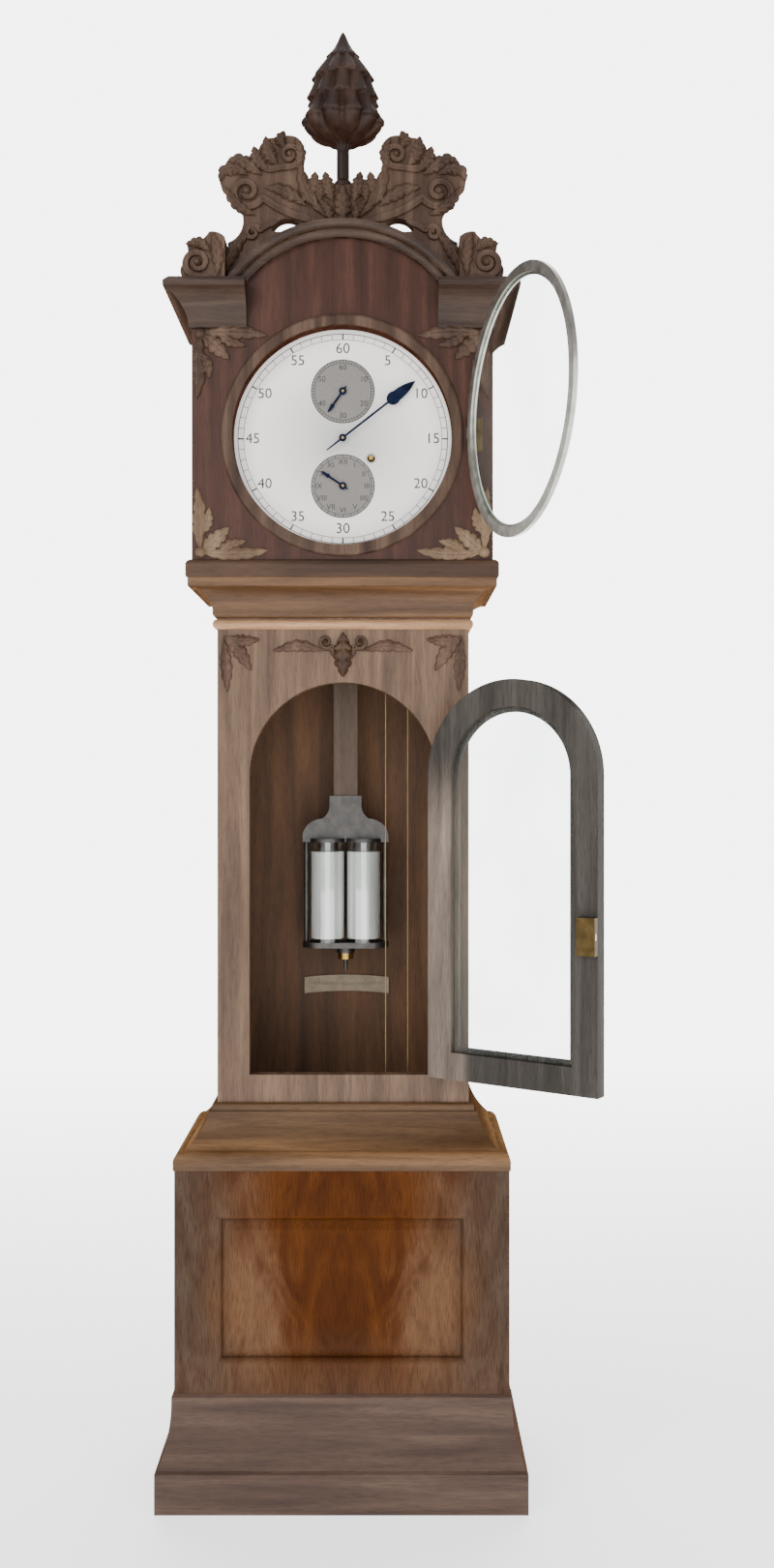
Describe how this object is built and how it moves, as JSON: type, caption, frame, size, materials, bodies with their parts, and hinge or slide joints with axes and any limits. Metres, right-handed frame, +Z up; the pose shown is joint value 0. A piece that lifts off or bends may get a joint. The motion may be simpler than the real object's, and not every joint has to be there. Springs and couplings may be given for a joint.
{
  "type": "longcase regulator clock",
  "caption": "Carved mahogany longcase regulator: sliding hood with a round dial and glazed bezel, arched glazed trunk door, mercury jar pendulum, weight-driven train.",
  "frame": {"origin": "on the floor, at the centre of the plinth's footprint", "axes": "+Z up, -Y to the front, +X to the right seen from the front"},
  "size_m": [0.6771, 0.6474, 2.316],
  "materials": {
    "carved_mahogany": "dark polished carved mahogany",
    "mahogany": "polished mahogany",
    "figured_mahogany": "figured mahogany veneer",
    "pine": "plain pine",
    "back_oak": "dark stained oak",
    "brass": "polished brass",
    "steel": "polished steel",
    "cast_iron": "black cast iron",
    "silvered_brass": "silvered brass",
    "blued_steel": "blued steel",
    "glass": "clear",
    "jar_glass": "clear",
    "mercury": "liquid mirror",
    "gut": "gut line"
  },
  "bodies": {
    "case": {"plinth": "mahogany", "bottom_board": "pine", "base_frame": "mahogany", "base_panel": "figured_mahogany", "panel_moulding": "mahogany", "base_sides": "mahogany", "waist_moulding": "mahogany", "trunk_front": "mahogany", "trunk_sides": "mahogany", "backboard": "back_oak", "neck_moulding": "carved_mahogany", "seat_board": "pine", "beat_scale": "silvered_brass", "fixed_hinge_leaves": "brass", "door_hinge_pins": "steel", "dial_plate": "silvered_brass", "front_plate": "brass", "back_plate": "brass", "plate_pillars": "brass", "back_cock": "brass", "suspension_bracket": "cast_iron", "weight_line": "gut"},
    "hood": {"hood_front": "mahogany", "hood_sides": "mahogany", "hood_top": "pine", "hood_band": "mahogany", "cornice": "carved_mahogany", "arch_moulding": "carved_mahogany", "shoulder_scrolls": "carved_mahogany", "crest_board": "carved_mahogany", "finial": "carved_mahogany", "dial_surround": "carved_mahogany", "bezel_hinge_bracket": "brass"},
    "bezel": {"bezel_ring": "brass", "bezel_glass": "glass"},
    "trunk_door": {"door_frame": "mahogany", "door_glass": "glass", "door_hinge_leaves": "brass", "door_lock": "brass"},
    "bolt": {"lock_bolt": "steel"},
    "pendulum": {"suspension_spring": "steel", "pendulum_rod": "pine", "jar_frame": "brass", "mercury_jars": "jar_glass", "mercury": "mercury"},
    "nut": {"rating_nut": "brass"},
    "anchor": {"pallets": "steel"},
    "centre": {"centre_arbor": "brass", "minute_hand": "blued_steel"},
    "third": {"third_wheel": "brass"},
    "escape": {"escape_wheel": "brass", "seconds_hand": "blued_steel"},
    "motion": {"minute_wheel": "brass"},
    "hour": {"hour_wheel": "brass", "hour_hand": "blued_steel"},
    "great": {"great_wheel": "brass"},
    "winding": {"barrel": "brass"},
    "driving_weight": {"weight": "brass"},
    "weight_pulley": {"pulley": "brass"}
  },
  "joints": [
    {"name": "hood_slide", "type": "slide", "parent": "case", "child": "hood", "axis": [0, -1, 0], "range_m": [0, 0.3]},
    {"name": "bezel_swing", "type": "hinge", "parent": "hood", "child": "bezel", "pos_m": [0.1972, -0.1179, 1.668], "axis": [0, 0, 1], "range_deg": [-108, 24]},
    {"name": "door_swing", "type": "hinge", "parent": "case", "child": "trunk_door", "pos_m": [0.1479, -0.0748, 0.9], "axis": [0, 0, 1], "range_deg": [-146, 24]},
    {"name": "bolt_throw", "type": "slide", "parent": "trunk_door", "child": "bolt", "axis": [0.829, -0.5592, 0], "range_m": [0, 0.008]},
    {"name": "pendulum_swing", "type": "hinge", "parent": "case", "child": "pendulum", "pos_m": [0, 0.0745, 1.774], "axis": [0, 1, 0], "range_deg": [-2.5, 2.5]},
    {"name": "rating_nut_turn", "type": "hinge", "parent": "pendulum", "child": "nut", "pos_m": [0, 0.0745, 0.83], "axis": [0, 0, 1], "continuous": true},
    {"name": "pallet_swing", "type": "hinge", "parent": "case", "child": "anchor", "pos_m": [0, 0, 1.774], "axis": [0, 1, 0], "range_deg": [-2.5, 2.5]},
    {"name": "minute_turn", "type": "hinge", "parent": "case", "child": "centre", "pos_m": [0, -0.02, 1.668], "axis": [0, 1, 0], "continuous": true},
    {"name": "great_turn", "type": "hinge", "parent": "case", "child": "great", "pos_m": [0.04473, -0.02, 1.63668], "axis": [0, 1, 0], "continuous": true},
    {"name": "third_turn", "type": "hinge", "parent": "case", "child": "third", "pos_m": [-0.01891, -0.02, 1.70684], "axis": [0, 1, 0], "continuous": true},
    {"name": "seconds_turn", "type": "hinge", "parent": "case", "child": "escape", "pos_m": [0, -0.02, 1.743], "axis": [0, 1, 0], "continuous": true},
    {"name": "motion_turn", "type": "hinge", "parent": "case", "child": "motion", "pos_m": [-0.00837, -0.06, 1.64128], "axis": [0, 1, 0], "continuous": true},
    {"name": "hour_turn", "type": "hinge", "parent": "case", "child": "hour", "pos_m": [0, -0.06, 1.593], "axis": [0, 1, 0], "continuous": true},
    {"name": "weight_travel", "type": "slide", "parent": "case", "child": "driving_weight", "axis": [0, 0, 1], "range_m": [0, 1.1], "deforming": ["weight_line"]},
    {"name": "winding_turn", "type": "hinge", "parent": "case", "child": "winding", "pos_m": [0.04473, -0.02, 1.63668], "axis": [0, 1, 0], "range_deg": [-5460, 0]},
    {"name": "pulley_turn", "type": "hinge", "parent": "driving_weight", "child": "weight_pulley", "pos_m": [0.08583, -0.0175, 0.339], "axis": [0, 1, 0], "range_deg": [0, 3505]}
  ],
  "couplings": [
    {"joint": "pallet_swing", "follows": "pendulum_swing", "ratio": 1},
    {"joint": "great_turn", "follows": "minute_turn", "ratio": -0.083333},
    {"joint": "third_turn", "follows": "minute_turn", "ratio": -8},
    {"joint": "seconds_turn", "follows": "minute_turn", "ratio": 60},
    {"joint": "motion_turn", "follows": "minute_turn", "ratio": -0.33333},
    {"joint": "hour_turn", "follows": "minute_turn", "ratio": 0.083333},
    {"joint": "winding_turn", "follows": "weight_travel", "rad_per_m": -86.58},
    {"joint": "pulley_turn", "follows": "weight_travel", "rad_per_m": 55.556}
  ]
}
